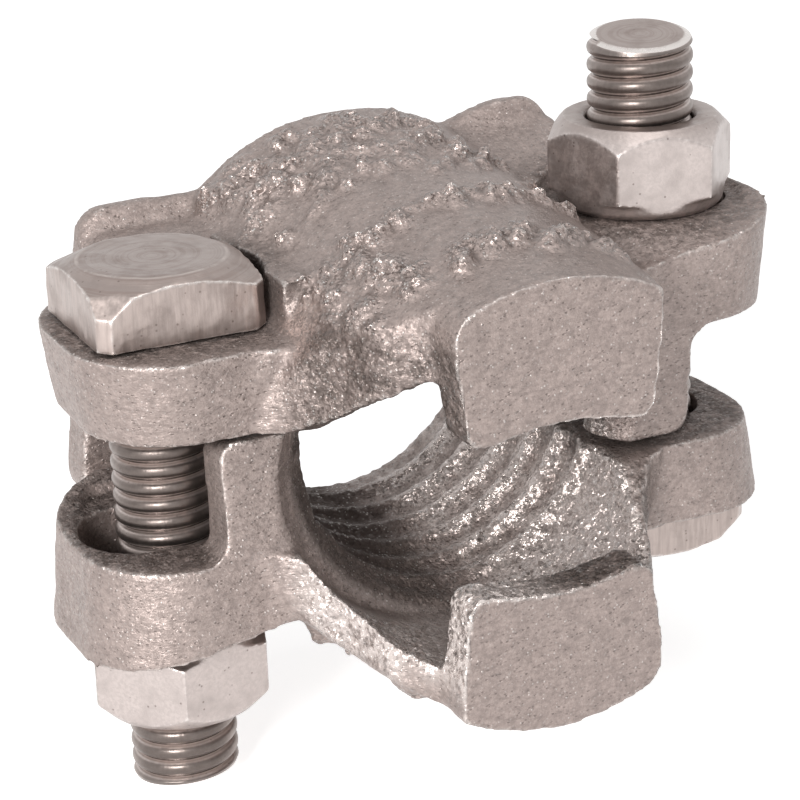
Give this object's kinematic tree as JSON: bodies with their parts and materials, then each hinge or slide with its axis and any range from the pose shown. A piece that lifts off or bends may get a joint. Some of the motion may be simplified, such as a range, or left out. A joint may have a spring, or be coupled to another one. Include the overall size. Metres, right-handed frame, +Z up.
{
  "type": "bolted hose clamp",
  "caption": "Cast-iron interlocking hose clamp with stem-gripping fingers, a ridged bore, square-head bolts and hex nuts.",
  "frame": {"origin": "on the hose axis, midway between the two bolts", "axes": "+Y along the hose axis, away from the gripping fingers; +X from one bolt to the other; +Z up, towards the upper half"},
  "size_m": [0.0776, 0.0548, 0.072],
  "materials": {
    "casting": "plated, as cast, satin",
    "bolt": "plated, satin",
    "nut": "plated, satin"
  },
  "bodies": {
    "lower": {"lower_half": "casting", "right_bolt": "bolt"},
    "upper": {"upper_half": "casting", "left_bolt": "bolt"},
    "left_nut": {"left_nut": "nut"},
    "right_nut": {"right_nut": "nut"}
  },
  "joints": [
    {"name": "clamp_open", "type": "slide", "parent": "lower", "child": "upper", "axis": [0, 0, 1], "range_m": [0, 0.008]},
    {"name": "right_nut_turn", "type": "hinge", "parent": "upper", "child": "right_nut", "pos_m": [0.02715, 0, 0.02235], "axis": [0, 0, 1], "range_deg": [0, 1600]},
    {"name": "left_nut_turn", "type": "hinge", "parent": "lower", "child": "left_nut", "pos_m": [-0.02715, 0, -0.02235], "axis": [0, 0, 1], "range_deg": [-1600, 0]}
  ],
  "couplings": [
    {"joint": "right_nut_turn", "follows": "clamp_open", "rad_per_m": 3463.2},
    {"joint": "left_nut_turn", "follows": "clamp_open", "rad_per_m": -3463.2}
  ]
}
